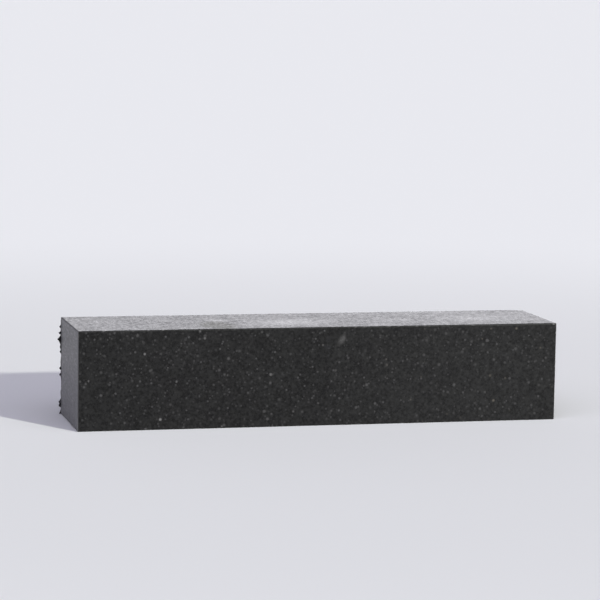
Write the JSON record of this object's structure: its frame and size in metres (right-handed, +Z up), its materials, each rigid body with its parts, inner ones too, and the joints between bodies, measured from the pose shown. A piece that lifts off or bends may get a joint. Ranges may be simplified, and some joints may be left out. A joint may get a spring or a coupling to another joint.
{
  "type": "sharpening whetstone",
  "caption": "Rectangular bench whetstone of dark natural stone, honed on its working faces, with eased arrises and a rough rear face.",
  "frame": {"origin": "centre of the sole, the flat face that the bar rests on; the break-out flakes past the left end are not counted", "axes": "+X runs along the bar from its left end to its right end, +Y from the honed front face to the rough rear face, +Z up to the honing face"},
  "size_m": [0.2016, 0.045, 0.0404],
  "materials": {
    "dark_stone": "satin"
  },
  "bodies": {
    "root": {"stone_bar": "dark_stone"}
  },
  "joints": []
}
